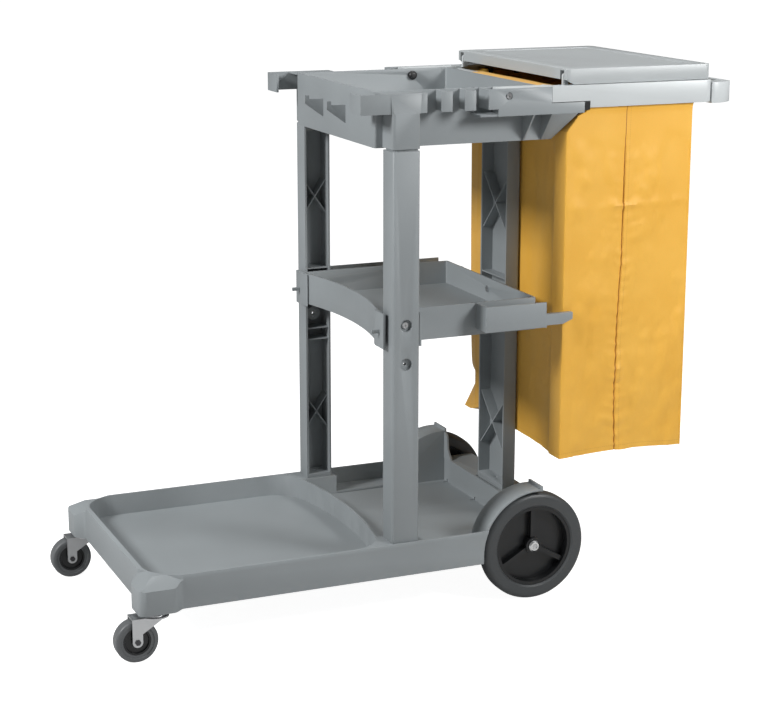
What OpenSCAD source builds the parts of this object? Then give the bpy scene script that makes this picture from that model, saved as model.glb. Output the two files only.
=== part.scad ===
// Housekeeping cart: moulded deck on two casters and two big wheels, three posts,
// a middle shelf, a top tray, and a lidded frame with a push handle that carries a waste bag.
// Millimetres, +Z up, floor at Z = 0. +X points to the handle, -Y is the pusher's left hand side.

/* [Deck] */
// Width over the side walls of the deck
deck_w = 476; // [400:1:620]
// From the origin to the front wall of the deck
deck_front = 542; // [500:1:640]
// From the origin to the rear end of the deck
deck_rear = 264; // [258:1:330]
// Height of the underside of the deck above the floor
deck_z = 85; // [80:1:110]
// Height of the deck walls
deck_h = 61; // [50:1:80]
// Wall thickness of the deck
deck_wall = 5; // [4:0.5:8]
// Thickness of the deck floor
deck_floor_t = 2.6; // [2:0.1:4]
// Depth of the front basin below the rim
basin_depth = 40; // [30:1:42]
// Depth of the rear basin below the rim
rear_depth = 36.5; // [25:0.5:37]
// Corner radius of the front basin
basin_r = 62; // [40:1:80]
// How far a caster boss stands out of the deck wall
boss_out = 13; // [6:1:20]
// Length of a caster boss
boss_l = 64; // [50:1:80]

/* [Wheels] */
// Diameter of a rear wheel
wheel_d = 203; // [180:1:220]
// Width of a rear tyre
tyre_w = 34; // [28:1:38]
// Diameter of the rear axle
axle_d = 10; // [8:0.5:10]
// From the origin to the rear axle
axle_x = 194; // [180:1:200]
// Diameter of the opening in a rear wheel
hub_open_d = 144; // [120:1:150]
// Diameter of a caster wheel
caster_d = 75; // [60:1:75]
// Width of a caster wheel
caster_w = 24; // [20:1:26]
// Trail of a caster
caster_trail = 34; // [30:1:38]
// Diameter of a caster axle bolt
caster_bolt_d = 8; // [6:0.5:9]

/* [Posts] */
// From the origin forward to the middle of the front posts
post_back = 66.5; // [50:0.5:80]
// Width of a front post
post_w = 51; // [44:1:62]
// Depth of a front post
post_d = 43; // [38:1:52]
// Height of a post up to the seam under the tray
post_h = 696; // [560:1:850]
// Wall thickness of a post
post_t = 4; // [3:0.5:6]
// Width of the rear post
rear_post_w = 108; // [80:1:130]
// Depth of the rear post
rear_post_d = 27.5; // [24:0.5:28]

/* [Shelf and tray] */
// Height of the shelf rim above the deck rim
shelf_rise = 414; // [330:1:500]
// Height of the shelf walls
shelf_h = 58.5; // [50:0.5:75]
// Depth of the shelf inside
shelf_depth = 44; // [25:1:46]
// How far the front wall of the shelf bows inwards
shelf_bow = 27; // [10:1:45]
// Length of the tray
tray_l = 309; // [300:1:320]
// Height of the tray walls
tray_h = 96; // [80:1:130]
// Wall thickness of shelf and tray
wall_t = 3.5; // [3:0.5:5]

/* [Bag frame, lid and bag] */
// From the origin to the outside of the rear wall of the frame
frame_rear = 539; // [500:1:600]
// Height of the side walls of the frame
frame_h = 39.5; // [34:0.5:48]
// How far the handle reaches behind the frame
handle_reach = 60; // [55:1:75]
// Height of the lid
lid_h = 25; // [24:1:40]
// Height of the bag
bag_h = 674; // [500:1:720]

/* [Hidden] */

left = -1;
right = 1;
fine = 96;
medium = 48;
small = 24;
// Seat gap between curved or trapped faces, and the running clearance of a shaft
seat = 0.3;
run = 0.05;
eps = 0.01;

// Deck
deck_top = deck_z + deck_h;
half = deck_w / 2;
front_x = -deck_front;
boss_front = front_x - boss_out - 4.6;
boss_half = half + boss_out;
boss_inner = half - 38;
basin_x0 = front_x + 9;
basin_half = half - deck_wall;
front_floor = deck_top - basin_depth;
rear_floor = deck_top - rear_depth;
ledge_z = rear_floor + 4.5;
axle_z = wheel_d / 2;
axle_r = axle_d / 2;
caster_x = boss_front + boss_l / 2;
caster_y = half - 12.5;
wheel_y = half - 24.6;
well_y = wheel_y - tyre_w / 2 - 8.4;
well_wall = 4;
well_in = well_y - well_wall;
well_r = wheel_d / 2 + 5.5;
fender_t = 3.5;
fender_r = well_r + fender_t;
fender_y = half - 2;
fender_end = axle_x + 12;
cross_x = axle_x + 8;
cross_top = deck_top + 11;

// Posts
post_x = -post_back;
post_out = half - 4.4;
post_in = post_out - post_d;
post_x0 = post_x - post_w / 2;
post_x1 = post_x + post_w / 2;
post_top = deck_top + post_h;
corner_r = 4.5;
spigot_gap = 0.4;
spigot_h = 52;
seam = 3.6;
socket_t = 3.2;
spigot_in = socket_t + spigot_gap;
rear_post_x0 = cross_x + 12;
rear_post_x1 = rear_post_x0 + rear_post_d;
post_screw_r = 2.5;
screw_hole_r = 2.7;
boss_r = 13.5;
boss_in = post_out - 15.6;
counter_r = 11;
counter_d = 7;
screw_z = deck_top + shelf_rise - 20;
spare_z = screw_z - 69;

// Rim centre and radius of the bowed rear end of the front basin
basin_end = post_x0 + 6;
basin_bulge_r = 909;
basin_cx = basin_end - basin_bulge_r;
basin_rim_t = 4;
rear_corner_r = 60;

// Shelf and tray
shelf_x1 = rear_post_x0 - 6.5;
shelf_top = deck_top + shelf_rise;
shelf_z = shelf_top - shelf_h;
shelf_floor = shelf_top - shelf_depth;
shelf_half = post_in - seat;
sleeve_t = 4;
sleeve_x0 = post_x0 - 6 - sleeve_t;
sleeve_x1 = post_x1 + seat;
holder_out = post_out - 0.5;
tray_z = post_top + seam - 1.5;
tray_top = tray_z + tray_h;
tray_half = post_in - 2.6;
tray_x1 = axle_x + 8;
tray_x0 = tray_x1 - tray_l;
socket_z = post_top + seam;
socket_top = post_top + spigot_h + socket_t;
rail_out = post_out - 3.6;
rail_x0 = tray_x0 - 42.5;
rail_x1 = post_x1 + 13.5;
rail_z = tray_top - 34.5;
plate_t = 3.6;
bracket_x0 = tray_x1 - 95;
bracket_z = tray_top - 47;
lip_x1 = tray_x1 + 73;
lip_top = tray_top - 28;

// Bag frame, lid and bag
frame_top = tray_top + 0.8;
frame_z = frame_top - frame_h;
frame_half = rail_out;
frame_arm_z = lip_top + 1.2;
bar_top = frame_top - 6;
ring_x0 = rear_post_x1 - 21;
flange_w = 21;
frame_deep_x = lip_x1 + 11.5;
tongue_x0 = bracket_x0 + 8;
tongue_in = tray_half + seat;
screw_x = bracket_x0 + 20;
frame_screw_z = tray_top - 12.5;
recess_d = 2.2;
handle_x1 = frame_rear + handle_reach;
grip_t = 25;
handle_z = frame_z - 3;
handle_top = frame_top - 5;
hinge_x = ring_x0 + 27.5;
hinge_z = frame_top + 15;
hinge_r = 2.5;
ear_in = frame_half - 28;
ear_t = 6;
ear_r = 5;
ear_gap = 4;
cheek_t = 7;
lid_half = frame_half - 8;
lid_x0 = hinge_x - 6;
lid_x1 = frame_rear - 3;
lid_z = frame_top + 1;
lid_top = lid_z + lid_h + 2;
lid_t = 3;
bag_x0 = rear_post_x1 + 2.5;
bag_x1 = frame_rear - 37;
bag_half = frame_half - 8;
bag_top = frame_top - 8;
bag_z = bag_top - bag_h;
bag_t = 3;
stud_r = 2.5;

// ---------- shared shapes ----------

// Points along an arc
function arc(cx, cy, r, a0, a1, n = 10) =
    [for (i = [0:n]) let (a = a0 + (a1 - a0) * i / n) [cx + r * cos(a), cy + r * sin(a)]];

// S-shaped step, straight at both ends; run_x true when it runs along X
function s_step(x0, y0, x1, y1, run_x, n = 8) =
    [for (i = [0:n]) let (t = i / n, s = (1 - cos(180 * t)) / 2)
        [x0 + (x1 - x0) * (run_x ? t : s), y0 + (y1 - y0) * (run_x ? s : t)]];

// Closed outline from its upper half
function both_halves(p) =
    concat(p, [for (i = [len(p) - 1:-1:0]) if (p[i][1] > eps) [p[i][0], -p[i][1]]]);

// Rounded rectangle
module round_rect(x0, x1, y0, y1, r) {
    polygon(concat(
        arc(x1 - r, y1 - r, r, 0, 90),
        arc(x0 + r, y1 - r, r, 90, 180),
        arc(x0 + r, y0 + r, r, 180, 270),
        arc(x1 - r, y0 + r, r, 270, 360)));
}

// Box from two corners
module block(x0, x1, y0, y1, z0, z1) {
    translate([x0, y0, z0])
        cube([x1 - x0, y1 - y0, z1 - z0]);
}

// Box on one side: y0 and y1 are distances from the middle plane
module side_block(side, x0, x1, y0, y1, z0, z1) {
    if (side < 0)
        block(x0, x1, -y1, -y0, z0, z1);
    else
        block(x0, x1, y0, y1, z0, z1);
}

// Upright box with its two outer corners rounded, on one side
module side_pillar(side, x0, x1, y0, y1, r, z0, z1) {
    translate([0, 0, z0])
        mirror([0, side < 0 ? 1 : 0, 0])
            linear_extrude(height = z1 - z0)
                polygon(concat([[x0, y0], [x1, y0]], arc(x1 - r, y1 - r, r, 0, 90, 6),
                    arc(x0 + r, y1 - r, r, 90, 180, 6)));
}

// Cylinder along Y between two distances from the middle plane
module side_rod(side, x, z, r, y0, y1, facets = medium) {
    translate([x, side < 0 ? -y1 : y0, z])
        rotate([-90, 0, 0])
            cylinder(r = r, h = y1 - y0, $fn = facets);
}

// Cylinder along X
module x_rod(x0, x1, y, z, r, facets = medium) {
    translate([x0, y, z])
        rotate([0, 90, 0])
            cylinder(r = r, h = x1 - x0, $fn = facets);
}

// Outline drawn in X and Z, extruded along Y between two distances from the middle
module side_plate(side, y0, y1) {
    translate([0, side < 0 ? -y0 : y1, 0])
        rotate([90, 0, 0])
            linear_extrude(height = y1 - y0)
                children();
}

// Outline drawn in Y and Z (Y as the distance from the middle), extruded along X
module x_plate(side, x0, x1) {
    translate([x0, 0, 0])
        mirror([0, side < 0 ? 1 : 0, 0])
            rotate([90, 0, 90])
                linear_extrude(height = x1 - x0)
                    children();
}

// Ring or turned profile around an axis along Y through x, z; the profile's Y runs outwards
module side_turned(side, x, z, y0, facets = fine) {
    translate([x, side * y0, z])
        rotate([side < 0 ? 90 : -90, 0, 0])
            rotate_extrude($fn = facets)
                children();
}

// ---------- deck ----------

// Lower and upper edge of a caster boss
slope_z = deck_top - 17.5;
boss_top_x = front_x + 12;
boss_top_y = half - 12;
boss_end = boss_front + boss_l + 18;
boss_low = concat(
    s_step(front_x, boss_inner - 26, boss_front, boss_inner, false),
    arc(boss_front + 12, boss_half - 12, 12, 180, 90, 6),
    s_step(boss_end - 22, boss_half, boss_end, half, true));
boss_high = concat(
    s_step(front_x, boss_inner - 26, boss_top_x, boss_inner, false),
    [[boss_top_x, boss_top_y]],
    s_step(boss_end - 32, boss_top_y, boss_end, half, true));

function deck_half_outline(boss) = concat(
    [[front_x, 0]],
    boss,
    [[axle_x, half], [axle_x, well_y], [deck_rear - 8, well_y]],
    arc(deck_rear - 8, well_y - 8, 8, 90, 0, 6),
    [[deck_rear, 0]]);

// Half of a sloping profile: from the lower edge of a boss up to its upper edge and inwards
function slope_profile(low, high, inside) =
    let (over = (high - low) / (deck_top - slope_z) * 2)
    [[low - over, slope_z - 2], [high, deck_top], [inside, deck_top], [inside, slope_z - 2]];

// Front and side slope on top of a boss
module boss_top(side) {
    inside = [boss_top_x + 28, boss_top_y - 28];
    intersection() {
        translate([0, 0, slope_z - 1])
            mirror([0, side < 0 ? 1 : 0, 0])
                linear_extrude(height = deck_top - slope_z + 1)
                    polygon(concat(boss_low, [inside]));
        side_plate(side, boss_inner - 40, boss_half + 1)
            polygon(slope_profile(boss_front, boss_top_x, boss_end));
        x_plate(side, boss_front - 1, boss_end + 1)
            polygon(slope_profile(boss_half, boss_top_y, boss_inner - 40));
    }
}

// Upper half of the front basin: rounded front corner, straight side, bowed rear end
function basin_half_outline(w, r_end, r_corner, x0) =
    let (cy = w - r_corner,
        cx = basin_cx + sqrt(pow(r_end - r_corner, 2) - cy * cy),
        a = atan2(cy, cx - basin_cx))
    concat(
        [[x0, 0]],
        arc(x0 + basin_r, w - basin_r, basin_r, 180, 90),
        arc(cx, cy, r_corner, 90, a),
        arc(basin_cx, 0, r_end, a, 0, 12));

module basin_outline() {
    polygon(both_halves(basin_half_outline(basin_half, basin_bulge_r, rear_corner_r, basin_x0)));
}

module rear_basin_outline() {
    difference() {
        translate([basin_end - 60, -well_in])
            square([cross_x - basin_end + 60, 2 * well_in]);
        translate([basin_cx, 0])
            circle(r = basin_bulge_r + basin_rim_t, $fn = 360);
    }
}

// Pockets moulded into the underside, between ribs
rib_t = 4;
rib_y = 80;
front_pocket_x = [for (i = [0:3]) basin_x0 + 62 + i * 92];
rear_pocket_x = [post_x1 + 8, post_x1 + 90, axle_x - 12];

module pocket_row(x0, x1, top) {
    block(x0 + rib_t / 2, x1 - rib_t / 2, -rib_y + rib_t / 2, rib_y - rib_t / 2, deck_z - 1, top);
    for (side = [left, right])
        side_block(side, x0 + rib_t / 2, x1 - rib_t / 2, rib_y + rib_t / 2, well_in - 4,
            deck_z - 1, top);
}

module underside_pockets() {
    front_roof = front_floor - deck_floor_t;
    rear_roof = rear_floor - deck_floor_t;
    block(front_x + deck_wall, front_pocket_x[0] - rib_t / 2, -rib_y, rib_y, deck_z - 1, front_roof);
    for (i = [0:2])
        pocket_row(front_pocket_x[i], front_pocket_x[i + 1], front_roof);
    pocket_row(front_pocket_x[3], post_x0 - 8, front_roof);
    for (i = [0:2])
        for (side = [left, right])
            side_block(side, front_pocket_x[i] + rib_t / 2, front_pocket_x[i + 1] - rib_t / 2,
                well_in, basin_half, deck_z - 1, front_roof);
    for (i = [0:1])
        pocket_row(rear_pocket_x[i], rear_pocket_x[i + 1], rear_roof);
    pocket_row(axle_x - 12, cross_x + 4, rear_roof);
    for (side = [left, right])
        side_block(side, post_x1 + 8, axle_x - well_r - 6, well_in, basin_half,
            deck_z - 1, ledge_z - 4);
    for (side = [left, right])
        side_block(side, post_x0 + 4, post_x1 - 4, post_in + 4, post_out - 4,
            deck_z - 1, deck_top - 4);
    block(cross_x + 4, deck_rear - 4, -well_in, well_in, deck_z - 1, cross_top - 4);
}

// Space for a wheel: the arch over the axle and all behind and below it
module wheel_space(side) {
    side_rod(side, axle_x, axle_z, well_r, well_y, half + 30, fine);
    side_block(side, axle_x - well_r, axle_x, well_y, half + 30, deck_z - 5, axle_z);
    side_block(side, axle_x, deck_rear + 10, well_y, half + 30, deck_z - 5, cross_top + 5);
}

// Inner wall of the wheel housing, the fender over the wheel and its end gusset
module wheel_housing(side) {
    difference() {
        union() {
            intersection() {
                side_rod(side, axle_x, axle_z, fender_r, well_in, well_y, fine);
                side_block(side, axle_x - fender_r - 1, cross_x, well_in - 1, well_y + 1,
                    rear_floor - 2, axle_z + fender_r + 1);
            }
            intersection() {
                side_rod(side, axle_x, axle_z, fender_r, well_y - 1, fender_y, fine);
                side_block(side, axle_x - fender_r - 1, fender_end, well_y - 2, fender_y + 1,
                    ledge_z - 1, axle_z + fender_r + 1);
            }
            // Upturned end lip
            side_block(side, fender_end - 4, fender_end, well_in, fender_y,
                axle_z + well_r - 2, axle_z + fender_r + 5);
        }
        side_rod(side, axle_x, axle_z, well_r, well_y, half + 30, fine);
    }
    x_plate(side, cross_x - 1, cross_x + 3)
        polygon([[well_in + 1, cross_top - 2], [well_in + 1, axle_z + well_r + 2],
            [well_in - 12, axle_z + well_r - 4], [well_in - 16, cross_top + 20],
            [well_in - 34, cross_top - 2]]);
}

module deck() {
    color([0.56, 0.58, 0.59])
    difference() {
        union() {
            difference() {
                union() {
                    translate([0, 0, deck_z])
                        linear_extrude(height = slope_z - deck_z)
                            polygon(both_halves(deck_half_outline(boss_low)));
                    translate([0, 0, slope_z - eps])
                        linear_extrude(height = deck_top - slope_z + eps)
                            polygon(both_halves(deck_half_outline(boss_high)));
                    for (side = [left, right])
                        boss_top(side);
                    block(cross_x, deck_rear, -well_y, well_y, deck_top - 1, cross_top);
                }
                translate([0, 0, front_floor])
                    linear_extrude(height = basin_depth + 1)
                        basin_outline();
                translate([0, 0, rear_floor])
                    linear_extrude(height = rear_depth + 1)
                        rear_basin_outline();
                for (side = [left, right])
                    side_block(side, post_x1 + 8, axle_x - 40, well_in - 1, basin_half,
                        ledge_z, deck_top + 1);
                for (side = [left, right])
                    wheel_space(side);
                underside_pockets();
            }
            for (side = [left, right])
                wheel_housing(side);
        }
        // Axle bore through the side walls and the long ribs
        side_rod(right, axle_x, axle_z, axle_r + run, -half, half);
        for (side = [left, right]) {
            // Caster stem bores
            translate([caster_x, side * caster_y, deck_z - 1])
                cylinder(r = stem_r + run, h = stem_h + 2, $fn = small);
            // Foot screw holes under the front posts
            translate([post_x, side * (post_in + post_d / 2), deck_top - 10])
                cylinder(r = screw_hole_r, h = 20, $fn = small);
            // Drain notches at the foot of the cross wall
            for (y = [22, 150])
                side_block(side, cross_x - 9, cross_x + 2, y, y + 22, rear_floor - 1.4,
                    rear_floor + 5);
        }
        // Foot screw hole and slot at the rear post
        translate([rear_post_x0 + rear_post_d / 2, 0, cross_top - 10])
            cylinder(r = screw_hole_r, h = 20, $fn = small);
        block(cross_x + 4.5, rear_post_x0 - 1, -rear_post_w / 2 + 4, rear_post_w / 2 - 4,
            cross_top - 20, cross_top + 1);
    }
}

// ---------- rear axle and wheels ----------

hub_in = well_y + 2.3;
hub_out = wheel_y + 12;
cap_t = 5;
bush_r = 9;
hub_rim_r = hub_open_d / 2;
tyre_in_r = hub_rim_r + 3.5;

module rear_axle() {
    color([0.72, 0.73, 0.74])
        side_rod(right, axle_x, axle_z, axle_r, -hub_out - cap_t + 1, hub_out + cap_t - 1);
}

module axle_caps() {
    color([0.8, 0.81, 0.82])
    for (side = [left, right])
        side_turned(side, axle_x, axle_z, hub_out + seat, medium)
            polygon([[axle_r + run, 0], [10.5, 0], [10.5, cap_t - 2.5], [8, cap_t],
                [axle_r + run, cap_t]]);
}

module axle_washers() {
    color([0.72, 0.73, 0.74])
    for (side = [left, right])
        side_turned(side, axle_x, axle_z, well_y + seat, medium)
            polygon([[axle_r + run, 0], [11, 0], [11, 1.6], [axle_r + run, 1.6]]);
}

// Rounded tyre profile in radius and width
module rear_tyre(side) {
    shoulder = 11;
    top_r = wheel_d / 2;
    w = tyre_w / 2;
    color([0.36, 0.37, 0.38])
    side_turned(side, axle_x, axle_z, wheel_y)
        polygon(concat(
            [[tyre_in_r, -w + 3], [tyre_in_r, w - 3], [tyre_in_r + 3, w]],
            arc(top_r - shoulder, w - shoulder, shoulder, 90, 10, 8),
            [[top_r - 1.2, w - shoulder - 2], [top_r, w - shoulder - 4],
                [top_r, -w + shoulder + 4], [top_r - 1.2, -w + shoulder + 2]],
            arc(top_r - shoulder, -w + shoulder, shoulder, -10, -90, 8),
            [[tyre_in_r + 3, -w]]));
}

// One-piece hub: rim band, recessed disc, middle boss and three ribs
module rear_hub(side) {
    band_w = tyre_w / 2 - 4;
    disc_y = wheel_y - 6;
    rib_w = 9;
    color([0.13, 0.14, 0.15])
    difference() {
        union() {
            side_turned(side, axle_x, axle_z, wheel_y)
                polygon([[hub_rim_r - 3, -band_w], [tyre_in_r - seat, -band_w],
                    [tyre_in_r - seat, band_w], [hub_rim_r - 3, band_w]]);
            side_rod(side, axle_x, axle_z, hub_rim_r - 1, disc_y - 2, disc_y + 2, fine);
            side_rod(side, axle_x, axle_z, 15, hub_in, hub_out, medium);
            intersection() {
                side_rod(side, axle_x, axle_z, hub_rim_r - 1, disc_y - 8, wheel_y + 8, fine);
                for (i = [0:2])
                    translate([axle_x, 0, axle_z])
                        rotate([0, i * 120 - 90, 0])
                            side_block(side, 10, hub_rim_r, disc_y - 8, wheel_y + 8,
                                -rib_w / 2, rib_w / 2);
            }
        }
        side_rod(side, axle_x, axle_z, bush_r + run, hub_in - 5, hub_out + 5);
    }
}

module wheel_bush(side) {
    color([0.3, 0.3, 0.31])
    difference() {
        side_rod(side, axle_x, axle_z, bush_r, hub_in, hub_out);
        side_rod(side, axle_x, axle_z, axle_r + run, hub_in - 1, hub_out + 1);
    }
}

// ---------- casters ----------

stem_r = 5.5;
stem_h = 36;
race_r = 22;
leg_w = 9;
plate_z = caster_d + 1.5;
plate_h = 2.5;
race_z = plate_z + plate_h;
king_r = 5;
wheel_x = caster_x - caster_trail;
caster_z = caster_d / 2;
fork_in = caster_w / 2 + 1.2;
fork_t = 2.2;
bolt_r = caster_bolt_d / 2;

// Fixed half: stem in the deck, upper race and king pin with its rivet head
module caster_stem(side) {
    color([0.75, 0.77, 0.78])
    translate([caster_x, side * caster_y, 0])
        rotate_extrude($fn = medium)
            polygon([[0, plate_z - 4.5], [8, plate_z - 4.5], [8.5, plate_z - seat],
                [king_r, plate_z - seat], [king_r, race_z + 3.6], [race_r - 4, race_z + 3.6],
                [race_r, race_z + 5], [race_r, deck_z - 1.5], [race_r - 2, deck_z],
                [stem_r, deck_z], [stem_r, deck_z + stem_h], [0, deck_z + stem_h]]);
}

// Swivelling fork: top plate, lower race ring, two legs bent round the wheel
module caster_fork(side) {
    leg_top = plate_z + plate_h;
    nose = caster_x + race_r + 3;
    color([0.73, 0.74, 0.75])
    translate([0, side * caster_y, 0])
    difference() {
        union() {
            translate([0, 0, plate_z])
                linear_extrude(height = plate_h)
                    union() {
                        translate([caster_x, 0])
                            circle(r = race_r + 3, $fn = medium);
                        translate([wheel_x - leg_w, -fork_in - fork_t])
                            square([caster_trail + leg_w, 2 * (fork_in + fork_t)]);
                    }
            translate([caster_x, 0, race_z - eps])
                cylinder(r = race_r - 2, h = 3, $fn = medium);
            for (flip = [left, right])
                side_plate(flip, fork_in, fork_in + fork_t)
                    union() {
                        polygon([[wheel_x - leg_w, leg_top], [wheel_x - leg_w, caster_z],
                            [wheel_x + leg_w, caster_z], [wheel_x + leg_w, caster_z + 14],
                            [caster_x + 4, plate_z - 7], [nose - 8, leg_top]]);
                        translate([wheel_x, caster_z])
                            circle(r = leg_w, $fn = medium);
                    }
        }
        translate([caster_x, 0, plate_z - 5])
            cylinder(r = king_r + run, h = 20, $fn = medium);
        side_rod(right, wheel_x, caster_z, bolt_r + run, -fork_in - 10, fork_in + 10);
    }
}

module caster_bolt(side) {
    color([0.66, 0.67, 0.68])
    translate([0, side * caster_y, 0]) {
        side_rod(right, wheel_x, caster_z, bolt_r, -fork_in - fork_t, fork_in + fork_t + 4.5,
            small);
        translate([0, -fork_in - fork_t, 0])
            side_rod(left, wheel_x, caster_z, bolt_r + 1.2, 0, 2.2, 6);
    }
}

module caster_nut(side) {
    color([0.66, 0.67, 0.68])
    translate([0, side * caster_y, 0])
    difference() {
        side_rod(right, wheel_x, caster_z, bolt_r + 2.6, fork_in + fork_t + eps,
            fork_in + fork_t + 4, 6);
        side_rod(right, wheel_x, caster_z, bolt_r + run, fork_in, fork_in + fork_t + 6, small);
    }
}

module caster_tyre(side) {
    r = caster_d / 2;
    w = caster_w / 2;
    color([0.42, 0.43, 0.44])
    translate([0, side * caster_y, 0])
    side_turned(right, wheel_x, caster_z, 0)
        polygon(concat(
            [[r - 13, -w + 1.5], [r - 13, w - 1.5], [r - 8, w - 1.5], [r - 7.4, w], [r - 5, w]],
            arc(r - 4, w - 4, 4, 76, 0, 5),
            arc(r - 4, -w + 4, 4, 0, -76, 5),
            [[r - 5, -w], [r - 7.4, -w], [r - 8, -w + 1.5]]));
}

module caster_hub(side) {
    r = caster_d / 2 - 13 - seat;
    w = caster_w / 2;
    color([0.3, 0.31, 0.32])
    translate([0, side * caster_y, 0])
    side_turned(right, wheel_x, caster_z, 0)
        polygon([[bolt_r + run, -w - 0.8], [9, -w - 0.8], [10, -w + 4], [r - 4, -w + 4.5],
            [r - 3, -w + 1.5], [r, -w + 1.5], [r, w - 1.5], [r - 3, w - 1.5],
            [r - 4, w - 4.5], [10, w - 4], [9, w + 0.8], [bolt_r + run, w + 0.8]]);
}

// ---------- posts ----------

// Crossed stiffening ribs of a channel, drawn in the width and Z
module x_brace(w, h, t) {
    len = sqrt(w * w + h * h);
    for (flip = [-1, 1])
        intersection() {
            square([w, h], center = true);
            rotate([0, 0, flip * atan2(h, w)])
                square([len + 10, t], center = true);
        }
}

brace_t = 2.4;
foot_h = 8;
low_brace_z = deck_top + 131;
high_brace_z = deck_top + 0.8 * post_h;
front_rib_z = [spare_z - 24, spare_z - 46, shelf_top + 5, post_top - 8];

// Channel with its closed face outwards, cross ribs, bosses and a spigot for the tray
module front_post(side) {
    inner = post_in;
    web = post_out - post_t;
    iw = post_w - 2 * post_t;
    color([0.56, 0.58, 0.59])
    difference() {
        union() {
            difference() {
                side_pillar(side, post_x0, post_x1, inner, post_out, corner_r, deck_top, post_top);
                side_block(side, post_x0 + post_t, post_x1 - post_t, inner - 1, web,
                    deck_top - 1, post_top + 1);
            }
            difference() {
                side_block(side, post_x0 + spigot_in, post_x1 - spigot_in,
                    inner + spigot_in, post_out - spigot_in, post_top - 12, post_top + spigot_h);
                side_block(side, post_x0 + spigot_in + 3, post_x1 - spigot_in - 3,
                    inner + spigot_in + 3, post_out - spigot_in - 3,
                    post_top - 13, post_top + spigot_h + 1);
            }
            for (z = front_rib_z)
                side_block(side, post_x0 + 1, post_x1 - 1, inner + 3, web + 1,
                    z - brace_t / 2, z + brace_t / 2);
            for (z = [low_brace_z, high_brace_z])
                translate([0, 0, z])
                    side_plate(side, web - 26, web + 1)
                        translate([post_x, 0])
                            x_brace(iw + 1, 64, brace_t);
            for (z = [screw_z, spare_z])
                side_rod(side, post_x, z, boss_r, boss_in, web + 1);
            side_block(side, post_x0 + 1, post_x1 - 1, inner, web + 1, deck_top, deck_top + foot_h);
        }
        for (z = [screw_z, spare_z]) {
            side_rod(side, post_x, z, screw_hole_r, inner - 5, post_out + 5, small);
            side_rod(side, post_x, z, counter_r, post_out - counter_d, post_out + 5);
        }
        translate([post_x, side * (post_in + post_d / 2), deck_top - 1])
            cylinder(r = screw_hole_r, h = 15, $fn = small);
    }
}

// Outside of the rear post, with rounded rear corners
module rear_pillar(z0, z1) {
    x0 = rear_post_x0;
    x1 = rear_post_x1;
    w = rear_post_w / 2;
    translate([0, 0, z0])
        linear_extrude(height = z1 - z0)
            polygon(concat([[x0, -w]], arc(x1 - corner_r, -w + corner_r, corner_r, -90, 0, 6),
                arc(x1 - corner_r, w - corner_r, corner_r, 0, 90, 6), [[x0, w]]));
}

// Wide channel, open to the front
module rear_post() {
    x0 = rear_post_x0;
    x1 = rear_post_x1;
    w = rear_post_w / 2;
    web = x1 - post_t;
    mid = (x0 + x1) / 2;
    rib_z = [shelf_z - 4, shelf_top + 5, post_top - 8];
    color([0.56, 0.58, 0.59])
    difference() {
        union() {
            difference() {
                rear_pillar(cross_top, post_top);
                block(x0 - 1, web, -w + post_t, w - post_t, cross_top - 1, post_top + 1);
            }
            difference() {
                block(x0 + spigot_in, x1 - spigot_in, -w + spigot_in, w - spigot_in,
                    post_top - 12, post_top + spigot_h);
                block(x0 + spigot_in + 3, x1 - spigot_in - 3, -w + spigot_in + 3,
                    w - spigot_in - 3, post_top - 13, post_top + spigot_h + 1);
            }
            for (z = rib_z)
                block(x0 + 2, web + 1, -w + 1, w - 1, z - brace_t / 2, z + brace_t / 2);
            for (z = [low_brace_z, high_brace_z])
                translate([x0 + 3, 0, z])
                    rotate([90, 0, 90])
                        linear_extrude(height = web - x0 - 2)
                            x_brace(rear_post_w - 2 * post_t + 1, 105, brace_t);
            x_rod(x0 + seat, web + 1, 0, screw_z, 8);
            block(x0, web + 1, -w + 1, w - 1, cross_top, cross_top + foot_h);
        }
        x_rod(x0 - 1, web - 2, 0, screw_z, screw_hole_r, small);
        translate([mid, 0, cross_top - 1])
            cylinder(r = screw_hole_r, h = 15, $fn = small);
        x_rod(x0 - 1, x0 + 12, 0, tray_screw_z, screw_hole_r, small);
    }
}

// Screw along +Z from under a foot plate
module foot_screw(x, y, z) {
    translate([x, y, z - 4 - 3]) {
        cylinder(r = 4.5, h = 3, $fn = small);
        cylinder(r = post_screw_r, h = foot_h + 6, $fn = small);
    }
}

module post_foot_screws() {
    color([0.72, 0.73, 0.74]) {
        for (side = [left, right])
            foot_screw(post_x, side * (post_in + post_d / 2), deck_top);
        foot_screw(rear_post_x0 + rear_post_d / 2, 0, cross_top);
    }
}

// ---------- middle shelf ----------

shelf_front_r = (pow(shelf_half, 2) + pow(shelf_bow, 2)) / (2 * shelf_bow);

// Plan of the shelf, with a concave front edge
module shelf_plan(inset) {
    difference() {
        round_rect(sleeve_x0 + 1 + inset, shelf_x1 - inset, -shelf_half + inset,
            shelf_half - inset, 4 - inset / 2);
        translate([sleeve_x0 + shelf_bow - shelf_front_r, 0])
            circle(r = shelf_front_r + inset, $fn = 360);
    }
}

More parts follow.
